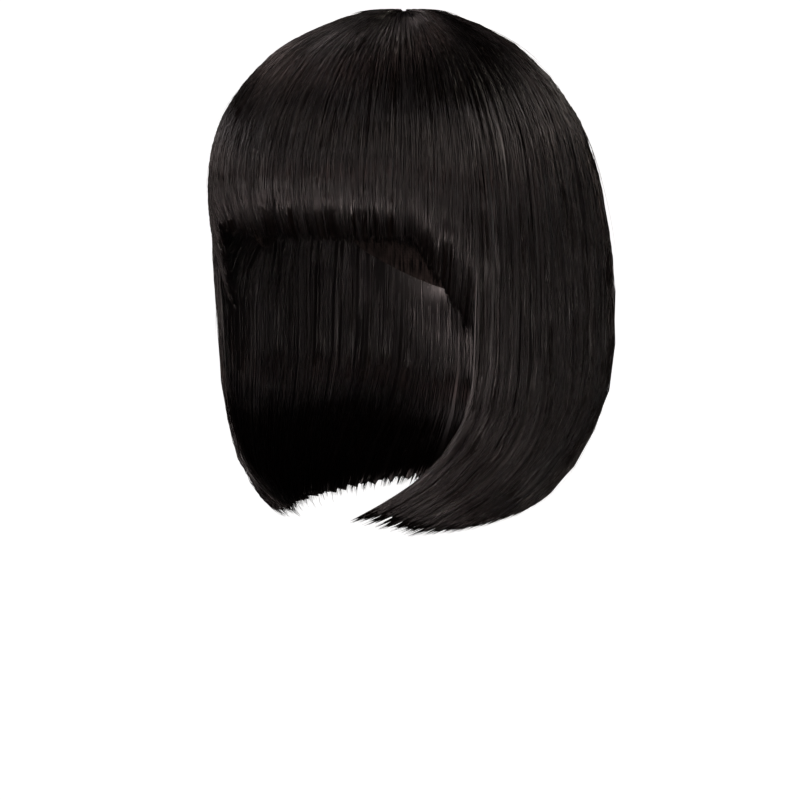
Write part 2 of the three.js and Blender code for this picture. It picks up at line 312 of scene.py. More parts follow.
def new_piece(name, points, faces, material):
    """A smooth-shaded mesh from arrays of points and of three or four corners a face, riding on the wig."""
    mesh = bpy.data.meshes.new(name)
    faces = [np.asarray(group, np.int32) for group in faces]
    sizes = np.concatenate([np.full(len(group), group.shape[1], np.int32) for group in faces])
    mesh.vertices.add(len(points))
    mesh.vertices.foreach_set("co", np.asarray(points, np.float32).ravel())
    mesh.loops.add(int(sizes.sum()))
    mesh.loops.foreach_set("vertex_index", np.concatenate([group.ravel() for group in faces]))
    mesh.polygons.add(len(sizes))
    mesh.polygons.foreach_set("loop_start", np.concatenate([[0], np.cumsum(sizes)[:-1]]).astype(np.int32))
    mesh.polygons.foreach_set("use_smooth", np.ones(len(sizes), bool))
    mesh.update(calc_edges=True)
    mesh.materials.append(material)
    piece = bpy.data.objects.new(name, mesh)
    bpy.context.scene.collection.objects.link(piece)
    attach(piece, "root")
    return piece


def keep_on_points(piece, name, values):
    """Stores a number, or a triple of numbers, on every point of a piece for its material."""
    values = np.asarray(values, np.float32)
    kind, key = ("FLOAT_VECTOR", "vector") if values.ndim == 2 else ("FLOAT", "value")
    piece.data.attributes.new(name, kind, "POINT").data.foreach_set(key, values.ravel())


def shell_faces(columns, rows, around=False):
    """Quads of a closed shell of two sheets of points, [outer, inner] by column by row, columns
    anticlockwise from above and rows downwards. A shell that goes around has no side edges."""
    ids = np.arange(2 * columns * rows).reshape(2, columns, rows)
    if around:
        ids = np.concatenate([ids, ids[:, :1]], axis=1)
    out, back = ids

    def quads(a, b, c, d):
        return np.stack([a, b, c, d], -1).reshape(-1, 4)

    faces = [
        quads(out[:-1, :-1], out[:-1, 1:], out[1:, 1:], out[1:, :-1]),
        quads(back[:-1, :-1], back[1:, :-1], back[1:, 1:], back[:-1, 1:]),
        quads(out[1:, -1], out[:-1, -1], back[:-1, -1], back[1:, -1]),
        quads(out[:-1, 0], out[1:, 0], back[1:, 0], back[:-1, 0]),
    ]
    if not around:
        faces += [
            quads(out[0, 1:], out[0, :-1], back[0, :-1], back[0, 1:]),
            quads(out[-1, 1:], back[-1, 1:], back[-1, :-1], out[-1, :-1]),
        ]
    return np.concatenate(faces)


def cap_sheets(azimuth, share, wall, bulge):
    """Points of the cap: a quarter ellipse from the top down to the widest level, then straight down with a
    slight tuck towards the rim at the back, at a share of the way to the rim."""
    above = (rim_height(azimuth) + CAP_RISE) / CAP_RISE
    rim = np.where(above > 0, np.arccos(np.clip(above, -1, 1)), np.pi / 2 - above)
    angle = rim * share
    below = np.maximum(angle - np.pi / 2, 0)
    round_in = np.sin(np.minimum(angle, np.pi / 2))
    tuck = CAP_TUCK * np.minimum(below, 1) ** 2
    turn = np.radians(azimuth)
    height = np.where(below > 0, -CAP_RISE * below, (CAP_RISE + wall + bulge) * np.cos(angle)) - CAP_RISE
    return np.stack([
        round_in * (CAP_WIDTH / 2 + wall + bulge - tuck) * np.sin(turn),
        -round_in * (CAP_LENGTH / 2 + wall + bulge - tuck) * np.cos(turn),
        height,
    ], -1)


azimuths, shares = np.meshgrid(
    np.linspace(0, 360, CAP_COLUMNS + 1)[:-1],
    np.linspace(CAP_FIRST_SHARE, 1, CAP_ROWS),
    indexing="ij",
)
band = smooth((shares - 1 + RIM_BAND / CAP_DEPTH) * CAP_DEPTH / RIM_STEP)
from_row = (shares * CAP_DEPTH / WEFT_SPACING) % 1 - 0.5
weft = np.exp(-(from_row / WEFT_WIDTH) ** 2) * (1 - band)
bulge = RIM_BULGE * band + WEFT_BULGE * weft
cap_points = np.stack([
    cap_sheets(azimuths, shares, CAP_WALL, bulge),
    cap_sheets(azimuths, shares, 0, -bulge),
])

# Crossing waves raise the threads of the mesh. Hair shows through it as upright streaks, and the sewn
# rows and the band are lighter than the open mesh, so the inside reads as dull cloth and never as a grey
# sheet.
net = new_material("stretch_net_polyamide")
place = add(net, "ShaderNodeTexCoord")
wave_a = add(net, "ShaderNodeTexWave", [(place, "Object", "Vector")], bands_direction="DIAGONAL",
             Scale=1 / NET_SPACING / WAVE_BANDS, Distortion=0.6, Detail=0)
wave_b = add(net, "ShaderNodeTexWave", [(place, "Object", "Vector")], bands_direction="Z",
             Scale=1 / NET_SPACING / WAVE_BANDS, Distortion=0.6, Detail=0)
threads = add(net, "ShaderNodeMath", [(wave_a, "Fac", 0), (wave_b, "Fac", 1)], operation="MAXIMUM")
hanging = add(net, "ShaderNodeMapping", [(place, "Object", "Vector")], Scale=NET_STREAKS)
behind_net = add(net, "ShaderNodeTexNoise", [(hanging, "Vector", "Vector")], Scale=1, Detail=2)
net_shade = add(net, "ShaderNodeMapRange", [(behind_net, "Fac", "Value")], From_Min=0.35, From_Max=0.65)
stitched = add(net, "ShaderNodeAttribute", attribute_name="stitched")
net_rows = add(net, "ShaderNodeMath", [(net_shade, 0, 0), (stitched, "Fac", 1)], operation="MULTIPLY")
net_tone = add(net, "ShaderNodeMix", [(net_rows, 0, "Factor")], data_type="RGBA")
net_tone.inputs[6].default_value = linear(NET_DARK)
net_tone.inputs[7].default_value = linear(NET_LIGHT)
net_bump = add(net, "ShaderNodeBump", [(threads, 0, "Height")], Strength=0.6, Distance=0.0004)
net_cloth = add(net, "ShaderNodeBsdfPrincipled", [(net_tone, 2, "Base Color"), (net_bump, 0, "Normal")],
                Roughness=0.8, Specular_IOR_Level=0.1)
finish_material(net, net_cloth)

cap_faces = shell_faces(CAP_COLUMNS, CAP_ROWS, around=True)
cap = new_piece("cap_net", cap_points.reshape(-1, 3), [cap_faces], net)
sewn = OPEN_NET_TONE + (1 - OPEN_NET_TONE) * np.maximum(weft, BAND_TONE * band)
keep_on_points(cap, "stitched", np.stack([sewn, sewn]).ravel())
cap_edit = bmesh.new()
cap_edit.from_mesh(cap.data)
bmesh.ops.remove_doubles(cap_edit, verts=cap_edit.verts, dist=CAP_WELD)
cap_edit.to_mesh(cap.data)
cap_edit.free()
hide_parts("cap")

# Fringe
# A full straight fringe of glossy black fibre, combed forward from the whorl, with a longer slanting end
# at each side. Its wefts are stitched to the front of the cap, and it is cut level and hangs free below
# the cap's rim.
EDGE_ANGLE = 58
FRINGE_ANGLE = 39
BACK_ANGLE = 115
FRINGE_DROP = 0.101
TEMPLE_DROP = 0.150
HAIR_DROP = 0.262
FRONT_TIP_RISE = 0.012
FRONT_TIP_ANGLE = 30
SIDE_RISE = 0.003
NAPE_RISE = 0.006
SIDE_REACH = CAP_WIDTH / 2 + 0.029
FRONT_REACH = CAP_LENGTH / 2 + whorl_y + 0.015
BACK_REACH = CAP_LENGTH / 2 - whorl_y + 0.049
SQUARENESS = 2.15
WHORL_RADIUS = 0.006
SWEEP_ANGLE = 42
SWEEP_START = 0.7
SWEEP_FADE_ANGLE = 60
SWEEP_LIMIT = 1.05  # strays that end past the cut go on coming forward as far as this
FRINGE_TUCK = 0.004
TUCK_START = 0.6
FRINGE_CURL = 0.0052  # how far the last stretch of the fringe turns under, inside the thickness of the mass
CURL_START = 0.87
CURL_POWER = 1.2
OUTLINE = {
    "station": [0.0, 0.03, 0.08, 0.2, 0.34, 0.5, 0.66, 0.8, 0.9, 0.96, 1.0],
    "drop": [0.01, 0.003, 0.014, 0.084, 0.218, 0.403, 0.6, 0.77, 0.89, 0.957, 1.0],
    "side": [0.0, 0.12, 0.28, 0.61, 0.855, 0.955, 0.985, 0.96, 0.85, 0.72, 0.57],
    "front": [0.0, 0.12, 0.29, 0.655, 0.92, 0.975, 0.84, 0.785, 0.75, 0.68, 0.58],
    "back": [0.0, 0.10, 0.235, 0.49, 0.75, 0.93, 1.0, 0.95, 0.80, 0.66, 0.525],
}
FRINGE_DEPTH = 0.009
SIDE_DEPTH = 0.020
BACK_DEPTH = 0.038
FULL_START_ANGLE = 90  # where the side hair begins to thicken towards the back
FULL_SPAN_ANGLE = 60
EDGE_DEPTH = 0.005
FEATHER_ANGLE = 20
ENDS_DEPTH = 0.5
RELEASE = 0.030
SEAT = 0.0009
THINNEST = 0.0035
PARTING_ANGLE = 37  # azimuth of the short parting through the whorl
PARTING_DEPTH = 0.0018
PARTING_WIDTH = 0.0013
PARTING_LENGTH = 0.028
ARC = 0.100  # a radius that turns comb degrees into a distance across the hair, for the fibre pattern
FALL_START = 0.03  # the station from which the outside falls all the way to the hem
FALL_STEPS = 2000

random = np.random.default_rng(20)


def height_at(station):
    """Height of the outside: from the crown down by the table's share of the whole height."""
    return CROWN_HEIGHT - column(OUTLINE, "station", "drop", station) * (CROWN_HEIGHT + HAIR_DROP)


def station_at(drop):
    """The station at a drop below the top of the cap, read off the table of heights the other way round."""
    stations = np.linspace(FALL_START, 1, FALL_STEPS)
    return np.interp(drop, -height_at(stations), stations)


def outside(azimuth, station):
    """Outside of the hair: at each level a squared ellipse round the whorl's axis, whose half width and
    whose front and back reach are the table's shares."""
    turn = np.radians(azimuth)
    half = np.maximum(SIDE_REACH * column(OUTLINE, "station", "side", station), WHORL_RADIUS)
    front = np.maximum(FRONT_REACH * column(OUTLINE, "station", "front", station), WHORL_RADIUS)
    behind = np.maximum(BACK_REACH * column(OUTLINE, "station", "back", station), WHORL_RADIUS)
    length = np.where(np.cos(turn) > 0, front, behind)
    power = np.abs(np.sin(turn) / half) ** SQUARENESS + np.abs(np.cos(turn) / length) ** SQUARENESS
    radius = power ** (-1 / SQUARENESS)
    return np.stack([radius * np.sin(turn), whorl_y - radius * np.cos(turn), height_at(station)], -1)


def cut_drop(comb):
    """How far down hair is cut: level across the fringe, slanting down at its ends, then the long hair,
    whose front edge rises a little."""
    turned = np.abs(comb)
    past = np.clip((turned - FRINGE_ANGLE) / (EDGE_ANGLE - FRINGE_ANGLE), 0, 1)
    short = FRINGE_DROP + (TEMPLE_DROP - FRINGE_DROP) * past
    rise = FRONT_TIP_RISE + (SIDE_RISE - FRONT_TIP_RISE) * smooth((turned - EDGE_ANGLE) / FRONT_TIP_ANGLE)
    rise = rise + (NAPE_RISE - rise) * smooth((turned - BACK_ANGLE) / (180 - BACK_ANGLE))
    return np.where(turned < EDGE_ANGLE, short, HAIR_DROP - rise)


def sweep(comb, share):
    """Degrees that the curled ends come forward: the cube of the last stretch, fading out towards the
    back."""
    turned = np.abs(comb)
    late = np.clip((share - SWEEP_START) / (1 - SWEEP_START), 0, SWEEP_LIMIT)
    fade = np.where(turned < EDGE_ANGLE, 0, smooth((180 - turned) / SWEEP_FADE_ANGLE))
    return -np.sign(comb) * SWEEP_ANGLE * fade * late**3


def hang_depth(comb, share):
    """How thick the hair hangs clear of the cap: thin at the front edge and at the cut ends."""
    turned = np.abs(comb)
    taper = 1 + (ENDS_DEPTH - 1) * smooth((share - SWEEP_START) / (1 - SWEEP_START))
    fullness = smooth((turned - FULL_START_ANGLE) / FULL_SPAN_ANGLE)
    body = SIDE_DEPTH + (BACK_DEPTH - SIDE_DEPTH) * fullness
    curtain = EDGE_DEPTH + (body - EDGE_DEPTH) * smooth((turned - EDGE_ANGLE) / FEATHER_ANGLE)
    return np.where(turned < EDGE_ANGLE, FRINGE_DEPTH, curtain) * taper


def seat_distance(ray):
    """Distance from the axis under the whorl, along a unit ray, at which hair meets the ellipsoid of the
    cap."""
    clearance = CAP_WALL + SEAT
    across = ray[..., 0] / (CAP_WIDTH / 2 + clearance)
    along = ray[..., 1] / (CAP_LENGTH / 2 + clearance)
    up = ray[..., 2] / (CAP_RISE + clearance)
    offset = whorl_y / (CAP_LENGTH / 2 + clearance)
    square = across**2 + along**2 + up**2
    return (np.sqrt((offset * along) ** 2 + square * (1 - offset**2)) - offset * along) / square


def hair_points(comb, station, lowered, drift=0, from_backing=False, aside=0):
    """Points at a depth under the outside, along comb lines that may drift by some degrees. The ray from
    the axis under the whorl through the outside gives the direction of depth. From the backing, the depth
    counts outwards from the inner side."""
    share = station / station_at(cut_drop(comb))
    azimuth = comb + sweep(comb, share) + drift
    straight = outside(azimuth, station)
    radius = np.hypot(straight[..., 0], straight[..., 1] - whorl_y)
    point = outside(azimuth + np.degrees(aside / radius), station)
    centre = np.zeros_like(point)
    centre[..., 1] = whorl_y
    centre[..., 2] = np.minimum(point[..., 2], -CAP_RISE)
    ray = point - centre
    full = np.linalg.norm(ray, axis=-1)
    ray /= full[..., None]
    tucked = FRINGE_TUCK * smooth((share - TUCK_START) / (1 - TUCK_START)) ** 2
    curled = FRINGE_CURL * np.clip((share - CURL_START) / (1 - CURL_START), 0, 1) ** CURL_POWER
    full = full - np.where(np.abs(comb) < EDGE_ANGLE, tucked + curled, 0)
    hung = smooth((rim_height(azimuth) - point[..., 2]) / RELEASE)
    seat = seat_distance(ray)
    backing = seat + (full - hang_depth(comb, share) - seat) * hung
    backing = np.minimum(backing, full - THINNEST)
    distance = backing + lowered if from_backing else full - lowered
    return centre + ray * distance[..., None], ray


def waves(x, pitches, seed):
    """A smooth random line along x, between about -1 and 1: a sum of sines of random phase with these
    pitches."""
    phases = np.random.default_rng(seed).uniform(0, 2 * np.pi, len(pitches))
    sines = [np.sin(2 * np.pi * x / pitch + phase) for pitch, phase in zip(pitches, phases)]
    return sum(sines) / len(pitches)


def by_mass(comb, sizes):
    """One of a pair of sizes: the first in the fringe, the second in the long hair."""
    return np.where(np.abs(comb) < EDGE_ANGLE, *sizes)


LOCK_DEPTH = (0.0004, 0.0018)  # of the valleys between locks, in the fringe and in the long hair
LOCK_PITCHES = (5.3, 7.9, 11.7)  # degrees between valleys, mixed so that no two locks are alike
LOCK_DRIFT = 1.2  # degrees that a valley strays to either side
LOCK_DRIFT_DOWN = 2.1  # radians of that wave from the whorl to the cut end
LOCK_DRIFT_ACROSS = 0.37  # and its radians in one comb degree
LOCK_GROWTH = 0.5  # share of the length in which the valleys reach their full depth


def lock_relief(comb, share):
    """Depth of the shallow valleys between locks: rectified waves of the comb angle that drift a little
    along the hair and grow from nothing at the whorl."""
    drift = comb + LOCK_DRIFT * np.sin(LOCK_DRIFT_DOWN * share + comb * LOCK_DRIFT_ACROSS)
    ridges = np.abs(waves(drift, LOCK_PITCHES, seed=3))
    return by_mass(comb, LOCK_DEPTH) * (1 - ridges) * smooth(share / LOCK_GROWTH)


def parting(azimuth, station):
    """Depth of the short parting that runs both ways from the whorl: a narrow valley beside its line, a
    bell curve of the distance to it, that runs out with the distance along it."""
    ring = outside(azimuth, station)[..., :2] - (0, whorl_y)
    line = np.radians(PARTING_ANGLE)
    along = ring[..., 0] * np.sin(line) - ring[..., 1] * np.cos(line)
    beside = ring[..., 0] * np.cos(line) + ring[..., 1] * np.sin(line)
    run_out = 1 - smooth(np.abs(along) / PARTING_LENGTH)
    return PARTING_DEPTH * np.exp(-(beside / PARTING_WIDTH) ** 2) * run_out


SHELL_DEPTH = 0.0016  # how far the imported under-hair lies below the outermost wisps
SHELL_LIFT = 0.0006  # of its inner sheet from the backing
SHELL_SHORT = (0.0030, 0.0032)  # how much higher than the cut it ends, in the fringe and in the long hair
SHELL_RAGGED = (0.9, 1.7, 4.3)  # degrees between the notches of its edge
SHELL_GROOVE = 0.00045
# The under-hair's low tone makes it darker and duller than the wisps over it: painted shade of those wisps.
SHELL_GLOSS_AND_PAINTED_SHADE = 0.15
SEAM_ANGLE = 0.001  # degrees between the edge of a shell and the comb line that parts it from the next one
SEAM_GAP = 0.00015
GROOVE_GROWTH = 0.2


def hair_shell(name, start, end, columns, rows):
    """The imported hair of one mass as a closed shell: an outer sheet with locks and fine combed grooves,
    and a plain backing that seats on the cap and flares clear of it below the rim."""
    edge = np.linspace(start, end, columns)
    edge[0] += SEAM_ANGLE
    edge[-1] -= SEAM_ANGLE
    comb = wrapped(edge)[:, None]
    ragged = 1.3 + 0.7 * waves(edge, SHELL_RAGGED, seed=5)[:, None]
    short = by_mass(comb, SHELL_SHORT) * ragged
    station = station_at(cut_drop(comb) - short) * np.linspace(0, 1, rows)[None, :]
    share = station / station_at(cut_drop(comb))
    random_column = random.uniform(-1, 1, (columns, 1))
    groove = SHELL_GROOVE * random_column * smooth(share / GROOVE_GROWTH)
    aside = np.zeros((columns, 1))
    aside[0] = SEAM_GAP
    aside[-1] = -SEAM_GAP
    lowered = SHELL_DEPTH + lock_relief(comb, share) + groove + parting(comb, station)
    lifted = np.full_like(station, SHELL_LIFT)
    front, _ = hair_points(comb, station, lowered, aside=aside)
    behind, _ = hair_points(comb, station, lifted, from_backing=True, aside=aside)
    points = np.stack([front, behind])
    piece = new_piece(name, points.reshape(-1, 3), [shell_faces(columns, rows)], fibre)
    across = np.broadcast_to(np.radians(edge)[:, None] * ARC, points.shape[:-1])
    along = np.broadcast_to(station * (CROWN_HEIGHT + HAIR_DROP), points.shape[:-1])
    keep_on_points(piece, "combed", np.stack([across, along, 0 * along], -1).reshape(-1, 3))
    # Painted shade: the under-hair's tone is kept low, so it shows darker between the wisps.
    tone = np.broadcast_to(SHELL_GLOSS_AND_PAINTED_SHADE * (1 - random_column), points.shape[:-1])
    keep_on_points(piece, "tone", tone.ravel())
    return piece


RUN_SHIFT = 7  # metres along for each metre across, so that neighbours don't share their streaks


def tubes(name, path, outward, width, height, tone, across):
    """Wisps of fibres as closed three-sided tubes. Each section is a flat triangle set across the path,
    with its back to the cap. The tone and the place across the hair are kept on the points for the
    material."""
    count, steps = path.shape[:2]
    along = np.gradient(path, axis=1)
    along /= np.linalg.norm(along, axis=-1, keepdims=True)
    side = np.cross(along, outward)
    side /= np.linalg.norm(side, axis=-1, keepdims=True)
    outward = np.cross(side, along)
    corners = np.stack([
        path - side * width[..., None] / 2,
        path + side * width[..., None] / 2,
        path + outward * height[..., None],
    ], axis=2)
    ids = np.arange(count * steps * 3).reshape(count, steps, 3)
    a, b = ids[:, :-1], ids[:, 1:]
    turned_a, turned_b = np.roll(a, -1, axis=2), np.roll(b, -1, axis=2)
    sides = np.stack([a, turned_a, turned_b, b], -1).reshape(-1, 4)
    piece = new_piece(name, corners.reshape(-1, 3), [sides, ids[:, 0, ::-1], ids[:, -1]], fibre)
    lengths = np.linalg.norm(np.diff(path, axis=1), axis=-1)
    run = np.concatenate([np.zeros((count, 1)), np.cumsum(lengths, axis=1)], axis=1)
    run = run + across[:, None] * RUN_SHIFT
    corner = np.array([-0.5, 0.5, 0])
    combed = np.stack(np.broadcast_arrays(
        across[:, None, None] + width[..., None] * corner,
        run[..., None],
        0.0,
    ), -1)
    keep_on_points(piece, "combed", combed.reshape(-1, 3))
    keep_on_points(piece, "tone", np.repeat(tone, steps * 3))
    return piece


TIP_START = 0.982  # share of a wisp's length at which its last step, the tip, begins
CROWDING = 0.3  # how much closer the steps lie at both ends


def spaced(steps):
    """Shares from 0 to 1, closer together at both ends, where the hair bends most, with a short last step
    for the tip."""
    even = np.linspace(0, 1, steps - 1)
    shares = even - CROWDING * np.sin(2 * np.pi * even) / (2 * np.pi)
    return np.append(shares * TIP_START, 1)


# Sizes of locks, ribbons and wisps. A pair of sizes is for the fringe and for the long hair, unless it
# says more.
LOCK_WIDTHS = (0.3, 1.7)  # narrowest and widest lock, as shares of the mean one
LOCK_WANDER = (0.35, 0.8)  # degrees that a lock strays to either side
LOCK_WAVES = 0.9  # waves of a straying lock in its length
LOCK_NOTCH = (0.0009, 0.0008)  # depth of the notch between the ends of two locks
LOCK_GATHER = (0.18, 0.35)  # how much a lock narrows towards its end
GATHER_START = 0.84
RIBBON_ANGLE = 1.0  # a lock is made of ribbons of wisps that lie, roll and shine together
RIBBON_UNEVEN = 0.3  # degrees that the edge of a ribbon moves to either side
RIBBON_PITCHES = (2.7, 4.1)
RIBBON_SHINE = (0.8, 1.7)  # the two powers of a beta distribution: most ribbons dull, a few bright
RIBBON_WAVES = (1.0, 2.6)  # fewest and most rolls of a ribbon in its length
RIBBON_ROLL = (0.0007, 0.0032)  # how far a ribbon rolls in and out
RIBBON_ROUND = (0.00016, 0.00045)  # how far a ribbon's edges lie below its middle
WISP_MARGIN = 0.25  # degrees that wisps keep from the comb line that parts two masses
WISP_WANDER = 0.16  # degrees that a wisp strays from its lock
WISP_WAVES = (0.6, 1.6)  # fewest and most waves of a straying wisp
WISP_HEAVE = 0.0007  # how far a wisp bends in and out
HEAVE_WAVES = (0.8, 2.6)
WISP_RAGGED = (0.0009, 0.0017)  # how unevenly wisps are cut
STRAY_SHARE = 0.06  # of the wisps, which are cut too long
STRAY_LENGTH = 0.0022
ROOT_SPREAD = 0.22  # share of the length in which wisps come out of the under-hair
ROOT_DEPTH = 0.002
ROOT_RISE = 0.06
SETTLING = 0.3  # share of the length in which what strays, bends or rolls reaches its full size
FILLING = 0.9  # how much of a valley between locks the wisps follow
PACKING = 0.7  # share of the depth of a mass's wisps that they fill
HIGHEST = 0.0001  # no wisp is nearer to the outside than this
SLOPE_NUDGE = 0.05  # degrees to either side, between which the slope of a valley is measured
SLOPE_RADIUS = 0.03  # nearer to the whorl than this, slopes grow no steeper
WISP_WIDTHS = (0.0003, 0.00065)  # narrowest and widest wisp
WISP_HEIGHT = 0.38  # of its section, as a share of its width
ROOT_WIDTH = 0.25  # at the whorl, as a share of the full width
ROOT_RADIUS = 0.07  # distance from the whorl at which a wisp has its full width
TIP_WIDTH = 0.12
WISP_TONE = 0.3
RIBBON_GLOSS_AND_PAINTED_SHEEN = 0.85


def lock_places(comb, start, end, lock_width):
    """The lock of each wisp: the lock's middle and its width in degrees, and its own random numbers for the
    length and for the phase of its waves."""
    widths = random.uniform(*LOCK_WIDTHS, max(int((end - start) / lock_width), 1))
    edges = start + (end - start) * np.concatenate([[0], np.cumsum(widths)]) / widths.sum()
    lock = np.clip(np.searchsorted(edges, comb) - 1, 0, len(widths) - 1)
    middle = (edges[lock] + edges[lock + 1])[:, None] / 2
    span = (edges[lock + 1] - edges[lock])[:, None]
    length = random.random(len(widths))[lock][:, None]
    phase = random.random(len(widths))[lock][:, None]
    return middle, span, length, phase


def ribbon_places(comb, start):
    """The ribbon of each wisp: how far the wisp is from the ribbon's middle as a share of its width, and
    the ribbon's own shine, phase, number of rolls and size."""
    place = (comb + RIBBON_UNEVEN * waves(comb, RIBBON_PITCHES, seed=8) - start) / RIBBON_ANGLE + 1
    ribbon = place.astype(int)
    beside = (place - ribbon - 0.5)[:, None]
    ribbons = ribbon.max() + 1
    shine = random.beta(*RIBBON_SHINE, ribbons)[ribbon]
    phase = random.random(ribbons)[ribbon][:, None]
    rolls = random.uniform(*RIBBON_WAVES, ribbons)[ribbon][:, None]
    size = random.random(ribbons)[ribbon][:, None]
    return beside, shine, phase, rolls, size


def hair_strands(name, start, end, count, steps, depth, lock_width, begin=0.0, from_backing=False):
    """Wisps of one mass: each follows its own comb line at its own depth and is cut at its own length.
    Near the cut end the wisps of a lock draw together into a point."""
    comb = start + (end - start) * (np.arange(count) + random.random(count)) / count
    lock_middle, lock_span, lock_length, lock_phase = lock_places(comb, start, end, lock_width)
    beside, ribbon_shine, ribbon_phase, ribbon_rolls, ribbon_size = ribbon_places(comb, start)
    comb = np.clip(comb, start + WISP_MARGIN, end - WISP_MARGIN)
    signed = wrapped(comb)[:, None]
    off = (comb[:, None] - lock_middle) / lock_span

    ragged = by_mass(signed, WISP_RAGGED) * random.exponential(1, (count, 1))
    short = by_mass(signed, LOCK_NOTCH) * (0.9 * lock_length + 1.6 * np.abs(off)) + ragged
    stray = random.random((count, 1)) < STRAY_SHARE
    short = np.where(stray, -STRAY_LENGTH * random.random((count, 1)), short)
    whole = station_at(cut_drop(signed))
    end_station = station_at(cut_drop(signed) - short)
    rooted = random.random((count, 1)) ** 3 * ROOT_SPREAD * (begin == 0)
    first = begin * random.uniform(0.9, 1.1, (count, 1)) + rooted
    station = first + (end_station - first) * spaced(steps)[None, :]
    share = station / whole
    settled = smooth(share / SETTLING)

    cycles = random.uniform(*WISP_WAVES, (count, 1))
    phase = random.random((count, 1))
    wander = WISP_WANDER * np.sin(2 * np.pi * (cycles * share + phase))
    lock_wander = by_mass(signed, LOCK_WANDER) * np.sin(2 * np.pi * (LOCK_WAVES * share + lock_phase))
    gather = by_mass(signed, LOCK_GATHER) * smooth((share - GATHER_START) / (1 - GATHER_START))
    drift = (wander + lock_wander) * settled - gather * off * lock_span

    level = PACKING * depth * random.random((count, 1))
    bend = random.uniform(*HEAVE_WAVES, (count, 1))
    heave = WISP_HEAVE * np.sin(2 * np.pi * (bend * share + phase))
    emerging = ROOT_DEPTH * (1 - smooth((station - first) / ROOT_RISE)) * (rooted > 0.01)
    roll = 0.5 + 0.5 * np.sin(2 * np.pi * (ribbon_rolls * share + ribbon_phase))
    heave = heave + by_mass(signed, RIBBON_ROLL) * ribbon_size * roll
    rounded = by_mass(signed, RIBBON_ROUND) * settled
    lowered = level + lock_relief(signed, share) * FILLING + heave * settled + emerging
    lowered = lowered + parting(signed + drift, station) + rounded * (2 * beside) ** 2
    if from_backing:
        lowered = depth * random.random((count, 1)) + 0 * share
    path, outward = hair_points(signed, station, np.maximum(lowered, HIGHEST), drift, from_backing)

    radius = np.hypot(path[..., 0], path[..., 1] - whorl_y)
    if from_backing:
        outward = -outward
    else:
        # The wisps face the way that the locks and the rounded ribbons slope. A rounded ribbon's depth is
        # rounded times (2 beside) squared, so it slopes by 8 times rounded times beside in its own width.
        lean_radius = np.maximum(radius, SLOPE_RADIUS)
        rise = lock_relief(signed + SLOPE_NUDGE, share) - lock_relief(signed - SLOPE_NUDGE, share)
        slope = rise / (2 * np.radians(SLOPE_NUDGE) * lean_radius)
        slope = slope + 8 * rounded * beside / (np.radians(RIBBON_ANGLE) * lean_radius)
        turn = np.radians(signed)
        sideways = np.stack(np.broadcast_arrays(np.cos(turn), np.sin(turn), 0.0), -1)
        outward = outward + sideways * slope[..., None]

    full_width = random.uniform(*WISP_WIDTHS, (count, 1))
    thin_root = ROOT_WIDTH + (1 - ROOT_WIDTH) * smooth(radius / ROOT_RADIUS)
    thin_tip = np.where(np.arange(steps) < steps - 1, 1, TIP_WIDTH)[None, :]
    width = full_width * thin_root * thin_tip
    # A wisp's tone is its own random share plus its ribbon's shine. The shinier ribbons are smoother, and
    # are also painted a little lighter, as painted highlight.
    tone = np.clip(WISP_TONE * random.random(count) + RIBBON_GLOSS_AND_PAINTED_SHEEN * ribbon_shine, 0, 1)
    return tubes(name, path, outward, width, width * WISP_HEIGHT, tone, np.radians(comb) * ARC)


FIBRE_PITCH = 0.0004  # a fibre is about 0.08 mm thick, too fine to show, so the streaks are drawn coarser
STREAK_LENGTH = 0.05
# Ends of the fibre's tone. Between them lie its own random tone, the lighter colour painted on shinier
# ribbons as painted highlight, and the dark under-hair as painted shade.
FIBRE_DARK = "#050404"
FIBRE_LIGHT = "#17110f"

# Fibre dyed through in a warm black, whose tone differs at random from wisp to wisp. The shinier ribbons
# are also painted a little lighter, as painted highlight. Its lighter streaks are the smoother ones too, so
# each light breaks up into fine bright lines along the comb, with dark ones between them, and never lies on
# the hair as one sheet.
fibre = new_material("glossy_synthetic_fibre")
tone = add(fibre, "ShaderNodeAttribute", attribute_name="tone")
combed = add(fibre, "ShaderNodeAttribute", attribute_name="combed")
stretched = add(fibre, "ShaderNodeMapping", [(combed, "Vector", "Vector")],
                Scale=(1 / FIBRE_PITCH, 1 / STREAK_LENGTH, 1))
streaks = add(fibre, "ShaderNodeTexNoise", [(stretched, "Vector", "Vector")], Scale=1, Detail=2)
shade = add(fibre, "ShaderNodeMath", [(tone, "Fac", 0), (streaks, "Fac", 1)], operation="MULTIPLY")
dye_and_painted_light = add(fibre, "ShaderNodeMix", [(shade, 0, "Factor")], data_type="RGBA")
dye_and_painted_light.inputs[6].default_value = linear(FIBRE_DARK)
dye_and_painted_light.inputs[7].default_value = linear(FIBRE_LIGHT)
gloss = add(fibre, "ShaderNodeMapRange", [(shade, 0, "Value")],
            From_Min=0.05, From_Max=0.40, To_Min=0.34, To_Max=0.12)
lines = add(fibre, "ShaderNodeBump", [(streaks, "Fac", "Height")], Strength=0.6, Distance=0.0001)
strand = add(fibre, "ShaderNodeBsdfPrincipled",
             [(dye_and_painted_light, 2, "Base Color"), (gloss, 0, "Roughness"), (lines, 0, "Normal")], IOR=1.52)
finish_material(fibre, strand)

fringe = hair_shell("fringe_hair", -EDGE_ANGLE, EDGE_ANGLE, columns=200, rows=32)
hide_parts("fringe")
hair_strands("fringe_strands", -EDGE_ANGLE, EDGE_ANGLE, count=2800, steps=12, depth=0.0022, lock_width=2.6)

